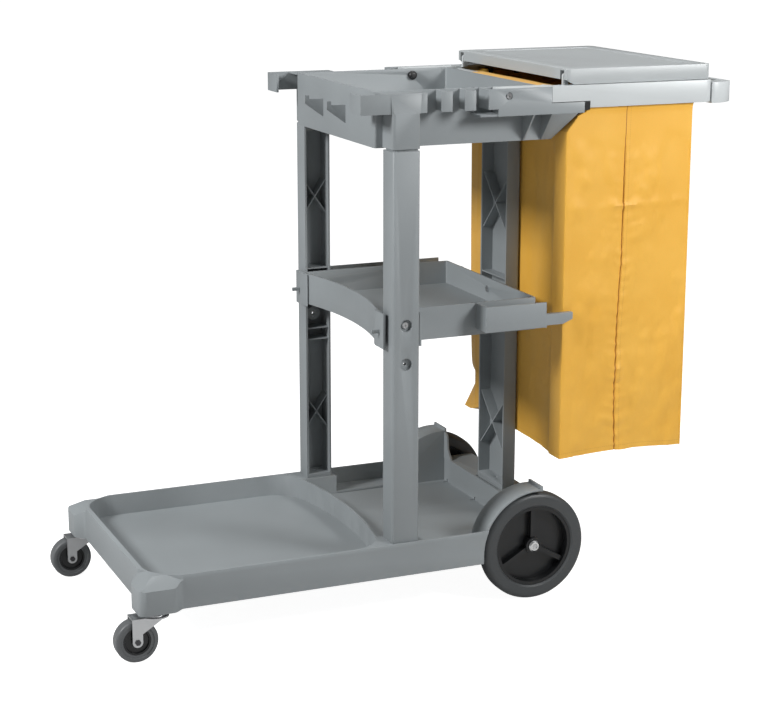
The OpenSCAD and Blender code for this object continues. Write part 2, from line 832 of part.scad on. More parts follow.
// Side holder: a pocket outside the wall with an arm that runs on to the rear
module shelf_holder(side, x0) {
    arm_x = shelf_x1 + 52;
    arm_z = shelf_top - 43;
    side_block(side, x0, x0 + wall_t, shelf_half - 1, holder_out, shelf_z + 12, shelf_top - 1);
    side_block(side, x0, shelf_x1 - 1, holder_out - wall_t, holder_out, shelf_z + 12,
        shelf_top - 1);
    side_block(side, x0, shelf_x1 - 1, shelf_half - 1, holder_out, shelf_z + 12,
        shelf_z + 12 + wall_t);
    side_block(side, shelf_x1 - wall_t - 1, shelf_x1 - 1, shelf_half - 1, holder_out - wall_t,
        shelf_z + 12, arm_z + 20);
    difference() {
        side_block(side, shelf_x1 - 2, arm_x, bag_half + 2, holder_out, arm_z, arm_z + 20);
        side_plate(side, shelf_half, holder_out + 5)
            polygon([[arm_x - 22, arm_z - 1], [arm_x + 1, arm_z - 1], [arm_x + 1, arm_z + 8]]);
    }
    side_block(side, shelf_x1 - 4, shelf_x1, shelf_half - 2, holder_out, arm_z - 4, arm_z + 20);
}

module middle_shelf() {
    color([0.56, 0.58, 0.59])
    difference() {
        union() {
            difference() {
                translate([0, 0, shelf_z])
                    linear_extrude(height = shelf_h)
                        shelf_plan(0);
                translate([0, 0, shelf_floor])
                    linear_extrude(height = shelf_depth + 1)
                        shelf_plan(wall_t);
                translate([0, 0, shelf_z - 1])
                    linear_extrude(height = shelf_floor - wall_t - shelf_z + 1)
                        shelf_plan(wall_t);
            }
            for (side = [left, right]) {
                // Sleeve plate and hook in front of the post
                translate([0, 0, shelf_z - 4])
                    mirror([0, side < 0 ? 1 : 0, 0])
                        linear_extrude(height = shelf_top - shelf_z + 4)
                            polygon([[sleeve_x0, shelf_half - 12], [sleeve_x0, shelf_half + 25],
                                [sleeve_x0 + sleeve_t, shelf_half + 25],
                                [sleeve_x0 + sleeve_t, shelf_half - 26]]);
                side_block(side, sleeve_x0 - 15, sleeve_x0 + 1, shelf_half + 4, shelf_half + 9,
                    shelf_z + 22, shelf_z + 28);
                // Sleeve plate behind the post
                side_block(side, sleeve_x1, sleeve_x1 + sleeve_t, shelf_half - 3,
                    post_out - 2, shelf_z, shelf_top);
                // Screw boss that reaches into the post
                side_rod(side, post_x, screw_z, 9, shelf_half - wall_t - 10, boss_in - seat);
            }
            shelf_holder(left, shelf_x1 - 120);
            shelf_holder(right, post_x1 + 10);
        }
        for (side = [left, right])
            side_rod(side, post_x, screw_z, screw_hole_r, shelf_half - wall_t - 7,
                boss_in + 5, small);
        x_rod(shelf_x1 - 10, shelf_x1 + 5, 0, screw_z, screw_hole_r, small);
    }
}

// Pan head screws through the outer face of each front post into the shelf
module shelf_side_screws() {
    color([0.75, 0.76, 0.77])
    for (side = [left, right])
        difference() {
            union() {
                side_rod(side, post_x, screw_z, 5.5, post_out - counter_d, post_out - counter_d + 2.4,
                    small);
                side_rod(side, post_x, screw_z, post_screw_r, shelf_half - wall_t - 6,
                    post_out - counter_d, small);
            }
            side_rod(side, post_x, screw_z, 2, post_out - counter_d + 0.9, post_out, 6);
        }
}

module shelf_rear_screw() {
    color([0.75, 0.76, 0.77])
    difference() {
        union() {
            x_rod(shelf_x1 - wall_t - 2.6, shelf_x1 - wall_t, 0, screw_z, 6, small);
            x_rod(shelf_x1 - wall_t - 1, shelf_x1 + 15, 0, screw_z, post_screw_r, small);
        }
        x_rod(shelf_x1 - wall_t - 4, shelf_x1 - wall_t - 1.2, 0, screw_z, 2, 6);
    }
}

// ---------- top tray ----------

tray_screw_z = socket_z + 30;
tray_floor = tray_z + 8;

// Hollow socket that takes the top of a front post
module tray_front_socket(side) {
    difference() {
        side_pillar(side, post_x0, post_x1, post_in, post_out, corner_r, socket_z, rail_z + 1);
        side_block(side, post_x0 + socket_t, post_x1 - socket_t, post_in + socket_t,
            post_out - socket_t, socket_z - 1, socket_top - socket_t);
    }
    // Webs that tie the socket to the tray wall
    for (x = [post_x0, post_x1 - socket_t])
        side_block(side, x, x + socket_t, tray_half - 1, post_in + 1, socket_z, socket_top);
}

// Open channel rail above the post, with end plate, and the tool holder plates behind it
module tray_rail(side) {
    wall_in = rail_out - plate_t;
    side_block(side, rail_x0, rail_x1, wall_in, rail_out, rail_z, tray_top - 1);
    side_block(side, rail_x0, rail_x0 + 4, tray_half - 7, rail_out, rail_z, tray_top - 1);
    side_block(side, rail_x1 - plate_t, rail_x1, tray_half - 1, rail_out, rail_z, tray_top - 1);
    side_block(side, tray_x0, rail_x1, tray_half - 1, rail_out, tray_top - 4, tray_top - 1);
    // Swelling where the socket runs up into the rail
    intersection() {
        x_plate(side, post_x0 - 3, post_x1 + 3)
            polygon([[wall_in, rail_z], [post_out, rail_z], [rail_out, tray_top - 1],
                [wall_in, tray_top - 1]]);
        side_plate(side, wall_in - 1, post_out + 1)
            polygon([[post_x0, rail_z], [post_x1, rail_z], [post_x1 + 3, tray_top - 1],
                [post_x0 - 3, tray_top - 1]]);
    }
    plate_top = side < 0 ? tray_top - 0.5 : tray_top - 12.5;
    for (x = slot_plate_x) {
        side_block(side, x, x + 20.5, wall_in, rail_out, rail_z, plate_top);
        side_block(side, x + 8.5, x + 12, tray_half - 1, rail_out - 1, rail_z, plate_top);
    }
}

slot_pitch = 44.3;
slot_plate_x = [for (i = [0:1]) rail_x1 + 26.7 + i * slot_pitch];

// Bracket that takes the arm of the bag frame, with the lip and gussets below it
module tray_bracket(side) {
    wall_in = rail_out - plate_t;
    end_x = tray_x1 + 8.5;
    side_block(side, bracket_x0 - 18, end_x, wall_in, rail_out, rail_z, tray_top + 0.5);
    side_block(side, bracket_x0, end_x, wall_in, rail_out, bracket_z, rail_z + 1);
    side_block(side, bracket_x0 - 18, bracket_x0 - 14.5, tray_half - 1, rail_out - 1, rail_z,
        tray_top - 0.5);
    side_block(side, bracket_x0 - 33, lip_x1, tray_half - 1, wall_in + 1, bracket_z,
        bracket_z + plate_t);
    side_block(side, bracket_x0, lip_x1, wall_in, rail_out, bracket_z, bracket_z + plate_t + 1);
    // Lip that carries on behind the tray
    side_block(side, end_x - 1, lip_x1, wall_in, rail_out, bracket_z, lip_top);
    side_block(side, tray_x1 - 1, lip_x1, tray_half - wall_t, tray_half, bracket_z, lip_top);
    side_block(side, lip_x1 - plate_t, lip_x1, tray_half - 1, rail_out - 1, bracket_z, lip_top);
    // Thin gusset
    x_plate(side, tray_x1 - 27, tray_x1 - 24)
        gusset_profile();
    // Sloped hollow wedge under the lip
    difference() {
        x_plate(side, tray_x1 + 9, lip_x1 - 12)
            gusset_profile();
        x_plate(side, tray_x1 + 12.5, lip_x1)
            polygon([[tray_half - 5, bracket_z - 46], [tray_half - 5, bracket_z + 1],
                [rail_out - 8, bracket_z + 1], [tray_half - 1, bracket_z - 43]]);
        translate([lip_x1 - 12, 0, bracket_z])
            rotate([0, 33, 0])
                translate([0, -half, -120])
                    cube([120, 2 * half, 160]);
    }
    x_plate(side, tray_x1 - 8, lip_x1 - 44)
        polygon([[tray_half - wall_t, bracket_z - 49], [tray_half, bracket_z - 49],
            [tray_half, bracket_z + 1], [tray_half - wall_t, bracket_z + 1]]);
}

module gusset_profile() {
    polygon([[tray_half - 1, bracket_z + 1], [rail_out - 1, bracket_z + 1],
        [rail_out - 1, bracket_z - 1], [tray_half + 2, bracket_z - 49],
        [tray_half - 1, bracket_z - 49]]);
}

// Upturned hooks on the front wall
module tray_hook(y) {
    translate([tray_x0 + 1, y + 2.3, tray_z + 28])
        rotate([90, 0, 0])
            linear_extrude(height = 4.6)
                polygon([[0, 0], [0, 33], [-28, 33], [-28, 40], [-36, 40], [-36, 26]]);
}

module top_tray() {
    color([0.56, 0.58, 0.59])
    difference() {
        union() {
            difference() {
                translate([0, 0, tray_z])
                    linear_extrude(height = tray_h)
                        round_rect(tray_x0, tray_x1, -tray_half, tray_half, 5);
                translate([0, 0, tray_floor])
                    linear_extrude(height = tray_h)
                        round_rect(tray_x0 + wall_t, tray_x1 - wall_t, -tray_half + wall_t,
                            tray_half - wall_t, 3);
                translate([0, 0, tray_z - 1])
                    linear_extrude(height = tray_floor - wall_t - tray_z + 1)
                        round_rect(tray_x0 + wall_t, tray_x1 - wall_t, -tray_half + wall_t,
                            tray_half - wall_t, 3);
            }
            for (side = [left, right]) {
                tray_front_socket(side);
                tray_rail(side);
                tray_bracket(side);
            }
            difference() {
                rear_pillar(socket_z, socket_top);
                block(rear_post_x0 + socket_t, rear_post_x1 - socket_t,
                    -rear_post_w / 2 + socket_t, rear_post_w / 2 - socket_t,
                    socket_z - 1, socket_top - socket_t);
            }
            for (y = [-rear_post_w / 2, rear_post_w / 2 - socket_t])
                block(tray_x1 - 1, rear_post_x0 + 1, y, y + socket_t, socket_z, socket_top);
            block(tray_x1 - 1, rear_post_x0 + 1, -12, 12, tray_screw_z - 12, tray_screw_z + 12);
            for (y = [-54, 54])
                tray_hook(y);
        }
        for (side = [left, right])
            side_rod(side, screw_x, frame_screw_z, screw_hole_r, tray_half - 10, rail_out + 5,
                small);
        for (side = [left, right])
            side_rod(side, screw_x, frame_screw_z, 6.5, rail_out - recess_d, rail_out + 5);
        x_rod(tray_x1 - 10, rear_post_x0 + 5, 0, tray_screw_z, screw_hole_r, small);
    }
}

module tray_rear_screw() {
    color([0.75, 0.76, 0.77])
    difference() {
        union() {
            x_rod(tray_x1 - wall_t - 2.6, tray_x1 - wall_t, 0, tray_screw_z, 6, small);
            x_rod(tray_x1 - wall_t - 1, rear_post_x0 + 6, 0, tray_screw_z, post_screw_r, small);
        }
        x_rod(tray_x1 - wall_t - 4, tray_x1 - wall_t - 1.2, 0, tray_screw_z, 2, 6);
    }
}

// ---------- bag frame with handle ----------

// Box-section arm inside the bracket, open underneath
module frame_arm(side) {
    wall_in = rail_out - plate_t - seat;
    side_block(side, tongue_x0, tray_x1 + 9, wall_in - plate_t, wall_in,
        bracket_z + plate_t + seat, tray_top);
    side_block(side, tongue_x0, ring_x0 + 1, tongue_in, tongue_in + plate_t,
        bracket_z + plate_t + seat, tray_top);
    side_block(side, tongue_x0, ring_x0 + 4, tongue_in, wall_in, tray_top - plate_t, tray_top);
    side_block(side, tongue_x0, tongue_x0 + plate_t, tongue_in, wall_in,
        bracket_z + plate_t + seat, tray_top);
    // Outer wall behind the bracket, resting on the lip
    side_block(side, tray_x1 + 9, frame_deep_x + 1, frame_half - plate_t, frame_half,
        frame_arm_z, frame_top);
    side_block(side, tray_x1 + 8.9, tray_x1 + 12.5, tongue_in, frame_half - 1, frame_arm_z,
        frame_top);
}

// Plan of the handle: a loop behind the rear wall
module handle_plan() {
    difference() {
        round_rect(frame_rear - 120, handle_x1, -frame_half + 3, frame_half - 3, 54);
        round_rect(frame_rear - 140, handle_x1 - grip_t, -frame_half + 36, frame_half - 36, 16);
        translate([frame_rear - 140, -half])
            square([138, 2 * half]);
    }
}

module handle_profile() {
    r = 13;
    union() {
        polygon([[frame_rear - 5, handle_z], [handle_x1 - r, handle_z], [handle_x1 - r, handle_top],
            [frame_rear - 5, handle_top]]);
        polygon(concat(
            arc(handle_x1 - r, handle_z + r, r, -90, 0, 6),
            arc(handle_x1 - r, handle_top - r, r, 0, 90, 6)));
    }
}

module bag_frame() {
    color([0.78, 0.79, 0.8])
    difference() {
        union() {
            // Deep ring wall and its inward flange
            translate([0, 0, frame_z])
                linear_extrude(height = frame_h)
                    difference() {
                        round_rect(frame_deep_x - 60, frame_rear, -frame_half, frame_half, 16);
                        round_rect(frame_deep_x - 80, frame_rear - plate_t,
                            -frame_half + plate_t, frame_half - plate_t, 13);
                        translate([frame_deep_x - 90, -half])
                            square([90, 2 * half]);
                    }
            translate([0, 0, frame_top - plate_t])
                linear_extrude(height = plate_t)
                    difference() {
                        round_rect(frame_deep_x - 60, frame_rear, -frame_half, frame_half, 16);
                        round_rect(ring_x0 + 11, frame_rear - flange_w, -frame_half + flange_w,
                            frame_half - flange_w, 10);
                        translate([frame_deep_x - 90, -half])
                            square([90, 2 * half]);
                    }
            for (side = [left, right]) {
                frame_arm(side);
                side_block(side, ring_x0, frame_deep_x + 1, frame_half - flange_w, frame_half,
                    frame_top - plate_t, frame_top);
                // Hinge ear on a tab of the flange
                side_block(side, hinge_x - ear_r, hinge_x + ear_r, ear_in,
                    frame_half - flange_w + 1, frame_top - plate_t, frame_top);
                side_block(side, hinge_x - ear_r, hinge_x + ear_r, ear_in, ear_in + ear_t,
                    frame_top - 1, hinge_z);
                side_rod(side, hinge_x, hinge_z, ear_r, ear_in, ear_in + ear_t, small);
            }
            // Front cross bar between the arms
            for (x = [ring_x0, bag_x0 - seat - plate_t])
                block(x, x + plate_t, -tray_half + wall_t + 1, tray_half - wall_t - 1,
                    socket_top + 2, bar_top);
            block(ring_x0, bag_x0 - seat, -frame_half + 12, frame_half - 12,
                bar_top - plate_t, bar_top);
            for (side = [left, right])
                side_block(side, ring_x0, bag_x0 - seat, frame_half - flange_w, frame_half - 12,
                    bar_top - 1, frame_top - 1);
            // Handle
            intersection() {
                translate([0, 0, handle_z])
                    linear_extrude(height = handle_top - handle_z)
                        handle_plan();
                side_plate(right, -half, half)
                    handle_profile();
            }
        }
        for (side = [left, right]) {
            side_rod(side, screw_x, frame_screw_z, screw_hole_r, tray_half - 5, frame_half + 5,
                small);
            side_rod(side, hinge_x, hinge_z, hinge_r + run, ear_in - 5, ear_in + ear_t + 5, small);
            for (x = stud_x)
                side_rod(side, x, stud_z, stud_r + run, frame_half - plate_t - 5, frame_half - 1.2,
                    small);
        }
        for (y = stud_y)
            x_rod(frame_rear - plate_t - 5, frame_rear - 1.2, y, stud_z, stud_r + run, small);
    }
}

// Rubber pads between the end of each lip and the deep part of the frame
module lip_pads() {
    color([0.1, 0.1, 0.11])
    for (side = [left, right])
        side_block(side, lip_x1 + seat, frame_deep_x - seat, frame_half - 24, frame_half - 1,
            lip_top - 15, lip_top + 1);
}

module frame_screws() {
    color([0.75, 0.76, 0.77])
    for (side = [left, right])
        difference() {
            union() {
                side_rod(side, screw_x, frame_screw_z, 5, rail_out - recess_d,
                    rail_out - recess_d + 2.4, small);
                side_rod(side, screw_x, frame_screw_z, post_screw_r, tray_half - wall_t - 5,
                    rail_out - recess_d + 1, small);
            }
            side_rod(side, screw_x, frame_screw_z, 2, rail_out - recess_d + 0.9, rail_out + 5, 6);
        }
}

// Domed knob nuts on the inner faces of the tray walls
module frame_nuts() {
    face = tray_half - wall_t;
    knob_r = 8.5;
    color([0.1, 0.1, 0.11])
    for (side = [left, right])
        side_turned(-side, screw_x, frame_screw_z, -face, medium)
            polygon(concat(
                [[0, 6], [post_screw_r + run, 6], [post_screw_r + run, 0], [knob_r, 0],
                    [knob_r, 3]],
                arc(knob_r - 5, 4, 5, 0, 90, 6),
                [[0, 9]]));
}

// ---------- lid ----------

// Shallow cover with a skirt all round, slotted at the front for the hinge ears of the frame
module lid() {
    wall = 3;
    front_z = lid_z + 8;
    slot_in = ear_in - ear_gap;
    slot_out = ear_in + ear_t + ear_gap;
    color([0.66, 0.68, 0.69])
    difference() {
        union() {
            difference() {
                translate([0, 0, lid_z])
                    linear_extrude(height = lid_top - lid_z)
                        round_rect(lid_x0, lid_x1, -lid_half, lid_half, 10);
                translate([0, 0, lid_z - 1])
                    linear_extrude(height = lid_top - lid_t - lid_z + 1)
                        round_rect(lid_x0 + wall, lid_x1 - wall, -lid_half + wall,
                            lid_half - wall, 7);
            }
            // Cheeks on both sides of each slot carry the hinge pins
            for (side = [left, right]) {
                side_block(side, lid_x0 + 0.5, hinge_x + 7, slot_in - cheek_t, slot_in,
                    hinge_z - 6, lid_top - 1);
                side_block(side, lid_x0 + 0.5, hinge_x + 7, slot_out, lid_half - 1,
                    hinge_z - 6, lid_top - 1);
            }
        }
        // High front edge and the cut corners of the side walls
        block(lid_x0 - 1, lid_x0 + wall + 1, -lid_half - 1, lid_half + 1, lid_z - 1, front_z);
        side_plate(right, -lid_half - 1, lid_half + 1)
            polygon([[lid_x0 - 1, lid_z - 1], [lid_x0 + 16, lid_z - 1], [lid_x0 + 15, lid_z],
                [lid_x0, front_z], [lid_x0 - 1, front_z]]);
        for (side = [left, right]) {
            side_block(side, lid_x0 - 1, hinge_x + ear_r + 3, slot_in, slot_out,
                lid_z - 1, lid_top - lid_t);
            side_rod(side, hinge_x, hinge_z, hinge_r + run, slot_in - cheek_t - 1,
                lid_half - 3.5, small);
        }
        // Raised border round a sunk middle panel
        translate([0, 0, lid_top - 1])
            linear_extrude(height = 2)
                round_rect(lid_x0 + 34, lid_x1 - 30, -lid_half + 34, lid_half - 34, 12);
    }
}

module lid_pins() {
    color([0.72, 0.73, 0.74])
    for (side = [left, right])
        side_rod(side, hinge_x, hinge_z, hinge_r, ear_in - ear_gap - cheek_t, lid_half - 4, small);
}

// ---------- bag ----------

stud_z = bag_top - 7;
stud_x = [for (i = [0:3]) frame_deep_x + 25 + i * 58];
stud_y = [-140, -47, 47, 140];

// Plan of the neck, narrow between the brackets of the tray and wide behind them
module neck_plan(x1, y1, inset) {
    union() {
        translate([bag_x0 + inset, -tray_half + wall_t + 1 + inset])
            square([frame_deep_x + 5 - bag_x0, 2 * (tray_half - wall_t - 1 - inset)]);
        round_rect(frame_deep_x + seat + inset, x1 - inset, -y1 + inset, y1 - inset, 14 - inset);
    }
}

// Open-topped bag with a flat bottom, held inside the ring by studs
module waste_bag() {
    ring_in = frame_half - plate_t - seat;
    back = frame_rear - plate_t - seat;
    neck_z = bracket_z - 53;
    hem_h = 24;
    color([0.93, 0.73, 0.32])
    difference() {
        union() {
            translate([0, 0, bag_z])
                linear_extrude(height = neck_z - bag_z)
                    round_rect(bag_x0, bag_x1, -bag_half, bag_half, 8);
            translate([0, 0, neck_z - eps])
                linear_extrude(height = bag_top - neck_z)
                    neck_plan(bag_x1, bag_half, 0);
            translate([0, 0, bag_top - hem_h])
                linear_extrude(height = hem_h)
                    neck_plan(back, ring_in, 0);
        }
        translate([0, 0, bag_z + bag_t])
            linear_extrude(height = neck_z - bag_z - 2 * bag_t)
                round_rect(bag_x0 + bag_t, bag_x1 - bag_t, -bag_half + bag_t, bag_half - bag_t, 5);
        translate([0, 0, neck_z - bag_t - eps])
            linear_extrude(height = bag_top - neck_z + bag_t + 1)
                neck_plan(bag_x1, bag_half, bag_t);
        translate([0, 0, bag_top - hem_h + bag_t])
            linear_extrude(height = hem_h)
                neck_plan(back, ring_in, bag_t);
        for (side = [left, right])
            for (x = stud_x)
                side_rod(side, x, stud_z, stud_r + seat, ring_in - 10, ring_in + 5, small);
        for (y = stud_y)
            x_rod(back - 10, back + 5, y, stud_z, stud_r + seat, small);
    }
}

// Domed studs pressed into the ring wall through eyelets in the hem
module bag_studs() {
    ring_in = frame_half - plate_t - seat;
    back = frame_rear - plate_t - seat;
    color([0.14, 0.15, 0.16]) {
        for (side = [left, right])
            for (x = stud_x) {
                side_rod(side, x, stud_z, stud_r, ring_in - bag_t - 1, frame_half - 1.5, small);
                side_rod(side, x, stud_z, 6, ring_in - bag_t - 2 - seat, ring_in - bag_t - seat,
                    small);
            }
        for (y = stud_y) {
            x_rod(back - bag_t - 1, frame_rear - 1.5, y, stud_z, stud_r, small);
            x_rod(back - bag_t - 2 - seat, back - bag_t - seat, y, stud_z, 6, small);
        }
    }
}

deck();
rear_axle();
axle_caps();
axle_washers();
rear_tyre(left);  // rear_tyre_left
rear_tyre(right);  // rear_tyre_right
rear_hub(left);  // rear_hub_left
rear_hub(right);  // rear_hub_right
wheel_bush(left);  // wheel_bush_left
wheel_bush(right);  // wheel_bush_right
caster_stem(left);  // caster_stem_left
caster_stem(right);  // caster_stem_right
caster_fork(left);  // caster_fork_left
caster_fork(right);  // caster_fork_right
caster_bolt(left);  // caster_bolt_left
caster_bolt(right);  // caster_bolt_right
caster_nut(left);  // caster_nut_left
caster_nut(right);  // caster_nut_right
caster_tyre(left);  // caster_tyre_left
caster_tyre(right);  // caster_tyre_right
caster_hub(left);  // caster_hub_left
caster_hub(right);  // caster_hub_right
front_post(left);  // front_post_left
front_post(right);  // front_post_right
rear_post();
post_foot_screws();
middle_shelf();
shelf_side_screws();
shelf_rear_screw();
top_tray();
tray_rear_screw();
bag_frame();
lip_pads();
frame_screws();
frame_nuts();
lid();
lid_pins();
waste_bag();
bag_studs();
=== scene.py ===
import bpy
import bmesh
import math
from mathutils import Matrix, Vector, noise


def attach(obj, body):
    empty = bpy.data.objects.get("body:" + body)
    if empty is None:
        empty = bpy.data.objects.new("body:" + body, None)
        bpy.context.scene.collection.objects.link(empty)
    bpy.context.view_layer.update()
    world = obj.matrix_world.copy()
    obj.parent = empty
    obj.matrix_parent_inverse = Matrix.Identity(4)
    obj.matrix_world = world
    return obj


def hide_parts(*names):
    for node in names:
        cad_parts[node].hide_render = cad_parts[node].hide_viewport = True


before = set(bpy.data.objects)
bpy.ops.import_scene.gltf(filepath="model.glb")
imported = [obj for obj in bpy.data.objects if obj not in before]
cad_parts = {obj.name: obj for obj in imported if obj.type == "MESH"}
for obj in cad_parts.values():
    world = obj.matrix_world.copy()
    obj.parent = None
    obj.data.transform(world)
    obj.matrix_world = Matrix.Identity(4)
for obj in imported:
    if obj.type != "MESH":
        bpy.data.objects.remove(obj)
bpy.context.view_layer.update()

# ---------------------------------------------------------------------------
# Deck: one injection-moulded polypropylene basin with a fine spark-eroded
# grain, housings over the wheels and bosses over the casters. The mould
# leaves a small radius on every edge, and the axle and the posts hold it.
# ---------------------------------------------------------------------------
MOULD_GREY = (0.268, 0.292, 0.303)
GRAIN_SIZE = 1500.0
CLOUD_SIZE = 5.0
MOULD_EDGE = 0.0011


def moulded_plastic(name, colour, roughness=0.46, grain=0.12, variation=0.06):
    """Moulded polyolefin: fine grain in the bump, slow clouds in tone and gloss."""
    material = bpy.data.materials.new(name)
    material.use_nodes = True
    nodes, links = material.node_tree.nodes, material.node_tree.links
    shader = nodes["Principled BSDF"]
    place = nodes.new("ShaderNodeTexCoord")

    cloud = nodes.new("ShaderNodeTexNoise")
    cloud.inputs["Scale"].default_value = CLOUD_SIZE
    cloud.inputs["Detail"].default_value = 5.0
    links.new(place.outputs["Object"], cloud.inputs["Vector"])
    tone = nodes.new("ShaderNodeValToRGB")
    low, high = tone.color_ramp.elements
    low.position, high.position = 0.3, 0.7
    low.color = (*(c * (1 - variation) for c in colour), 1)
    high.color = (*(min(1, c * (1 + variation)) for c in colour), 1)
    links.new(cloud.outputs["Fac"], tone.inputs["Fac"])

    pores = nodes.new("ShaderNodeTexNoise")
    pores.inputs["Scale"].default_value = GRAIN_SIZE
    pores.inputs["Detail"].default_value = 2.0
    links.new(place.outputs["Object"], pores.inputs["Vector"])
    speck = nodes.new("ShaderNodeMix")
    speck.data_type = "RGBA"
    speck.blend_type = "MULTIPLY"
    speck.inputs["Factor"].default_value = grain
    links.new(tone.outputs["Color"], speck.inputs["A"])
    links.new(pores.outputs["Fac"], speck.inputs["B"])
    links.new(speck.outputs["Result"], shader.inputs["Base Color"])

    gloss = nodes.new("ShaderNodeMapRange")
    gloss.inputs["From Min"].default_value = 0.3
    gloss.inputs["From Max"].default_value = 0.7
    gloss.inputs["To Min"].default_value = roughness - 0.05
    gloss.inputs["To Max"].default_value = roughness + 0.06
    links.new(cloud.outputs["Fac"], gloss.inputs["Value"])
    links.new(gloss.outputs["Result"], shader.inputs["Roughness"])

    bump = nodes.new("ShaderNodeBump")
    bump.inputs["Strength"].default_value = grain
    bump.inputs["Distance"].default_value = 0.0002
    links.new(pores.outputs["Fac"], bump.inputs["Height"])
    links.new(bump.outputs["Normal"], shader.inputs["Normal"])
    return material


def moulded_copy(node, body, material, edge=MOULD_EDGE):
    """The node's shape as one welded mesh, with the edge radius that a mould leaves."""
    welded = bmesh.new()
    welded.from_mesh(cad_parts[node].data)
    bmesh.ops.remove_doubles(welded, verts=welded.verts, dist=1e-6)
    bmesh.ops.dissolve_limit(
        welded, angle_limit=math.radians(0.4), use_dissolve_boundaries=False,
        verts=welded.verts, edges=welded.edges)
    mesh = bpy.data.meshes.new(f"{node}_moulding")
    welded.to_mesh(mesh)
    welded.free()
    for polygon in mesh.polygons:
        polygon.use_smooth = True
    mesh.materials.append(material)
    piece = bpy.data.objects.new(f"{node}_moulding", mesh)
    bpy.context.scene.collection.objects.link(piece)
    soft = piece.modifiers.new("mould_edge", "BEVEL")
    soft.width = edge
    soft.segments = 2
    soft.limit_method = "ANGLE"
    soft.angle_limit = math.radians(32)
    soft.harden_normals = True
    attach(piece, body)
    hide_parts(node)
    return piece


cart_grey = moulded_plastic("cart_grey", MOULD_GREY)
moulded_copy("deck", "cart", cart_grey)

# ---------------------------------------------------------------------------
# Rear wheels: grey non-marking rubber moulded onto one-piece charcoal nylon
# hubs with three ribs. They turn on a zinc plated axle rod between a washer
# and a bright push-on cap.
# ---------------------------------------------------------------------------
TREAD_GREY = (0.058, 0.063, 0.066)
HUB_BLACK = (0.008, 0.009, 0.010)
NYLON_BLACK = (0.012, 0.012, 0.013)
ZINC = (0.62, 0.63, 0.64)
BRIGHT = (0.76, 0.77, 0.78)


def dress(node, material):
    """A CAD node that stays as it is takes this finish."""
    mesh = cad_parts[node].data
    mesh.materials.clear()
    mesh.materials.append(material)


def plated_steel(name, colour, roughness):
    """Plated steel, with a faint mottle in its tone and gloss."""
    material = bpy.data.materials.new(name)
    material.use_nodes = True
    nodes, links = material.node_tree.nodes, material.node_tree.links
    shader = nodes["Principled BSDF"]
    shader.inputs["Metallic"].default_value = 1.0
    place = nodes.new("ShaderNodeTexCoord")
    mottle = nodes.new("ShaderNodeTexNoise")
    mottle.inputs["Scale"].default_value = 120.0
    mottle.inputs["Detail"].default_value = 4.0
    links.new(place.outputs["Object"], mottle.inputs["Vector"])
    tone = nodes.new("ShaderNodeValToRGB")
    tone.color_ramp.elements[0].color = (*(c * 0.88 for c in colour), 1)
    tone.color_ramp.elements[1].color = (*colour, 1)
    links.new(mottle.outputs["Fac"], tone.inputs["Fac"])
    links.new(tone.outputs["Color"], shader.inputs["Base Color"])
    gloss = nodes.new("ShaderNodeMapRange")
    gloss.inputs["To Min"].default_value = roughness - 0.08
    gloss.inputs["To Max"].default_value = roughness + 0.1
    links.new(mottle.outputs["Fac"], gloss.inputs["Value"])
    links.new(gloss.outputs["Result"], shader.inputs["Roughness"])
    return material


tread_rubber = moulded_plastic("tread_rubber", TREAD_GREY, roughness=0.42, grain=0.2)
hub_nylon = moulded_plastic("hub_nylon", HUB_BLACK, roughness=0.3)
black_nylon = moulded_plastic("black_nylon", NYLON_BLACK, roughness=0.35)
zinc_plate = plated_steel("zinc_plate", ZINC, 0.35)
bright_steel = plated_steel("bright_steel", BRIGHT, 0.22)
for side in ("left", "right"):
    dress(f"rear_tyre_{side}", tread_rubber)
    dress(f"rear_hub_{side}", hub_nylon)
    dress(f"wheel_bush_{side}", black_nylon)
for node in ("rear_axle", "axle_washers"):
    dress(node, zinc_plate)
dress("axle_caps", bright_steel)

# ---------------------------------------------------------------------------
# Casters: pressed zinc plated forks that swivel under a stem pushed up into
# the deck's bosses. Each has a paler grey rubber wheel on a charcoal hub, and
# a blackened bolt and nut through the fork.
# ---------------------------------------------------------------------------
CASTER_GREY = (0.125, 0.132, 0.137)
BLACKENED = (0.09, 0.09, 0.095)
caster_rubber = moulded_plastic("caster_rubber", CASTER_GREY, roughness=0.45, grain=0.2)
dark_steel = plated_steel("dark_steel", BLACKENED, 0.4)
for side in ("left", "right"):
    dress(f"caster_tyre_{side}", caster_rubber)
    dress(f"caster_hub_{side}", hub_nylon)
    dress(f"caster_stem_{side}", zinc_plate)
    dress(f"caster_fork_{side}", zinc_plate)
    dress(f"caster_bolt_{side}", dark_steel)
    dress(f"caster_nut_{side}", dark_steel)

# ---------------------------------------------------------------------------
# Posts: two front channels and a wide rear one, of the deck's polypropylene,
# with moulded ribs inside. Each stands on the deck, where one plated screw
# holds its foot, and plugs into a socket of the tray.
# ---------------------------------------------------------------------------
FINE_EDGE = 0.0007
for node in ("front_post_left", "front_post_right", "rear_post"):
    moulded_copy(node, "cart", cart_grey, edge=FINE_EDGE)
dress("post_foot_screws", bright_steel)

# ---------------------------------------------------------------------------
# Middle shelf: an open moulded tray between the posts, with a side holder and
# an arm on each side. One screw at each front post and one at the rear post
# hold it.
# ---------------------------------------------------------------------------
moulded_copy("middle_shelf", "cart", cart_grey, edge=FINE_EDGE)
for node in ("shelf_side_screws", "shelf_rear_screw"):
    dress(node, bright_steel)

# ---------------------------------------------------------------------------
# Top tray: a deep moulded tray with sockets over the posts, rails and slots
# for tool handles at its sides, hooks at its front and brackets for the bag
# frame. A screw pins it to the rear post.
# ---------------------------------------------------------------------------
moulded_copy("top_tray", "cart", cart_grey, edge=FINE_EDGE)
dress("tray_rear_screw", bright_steel)

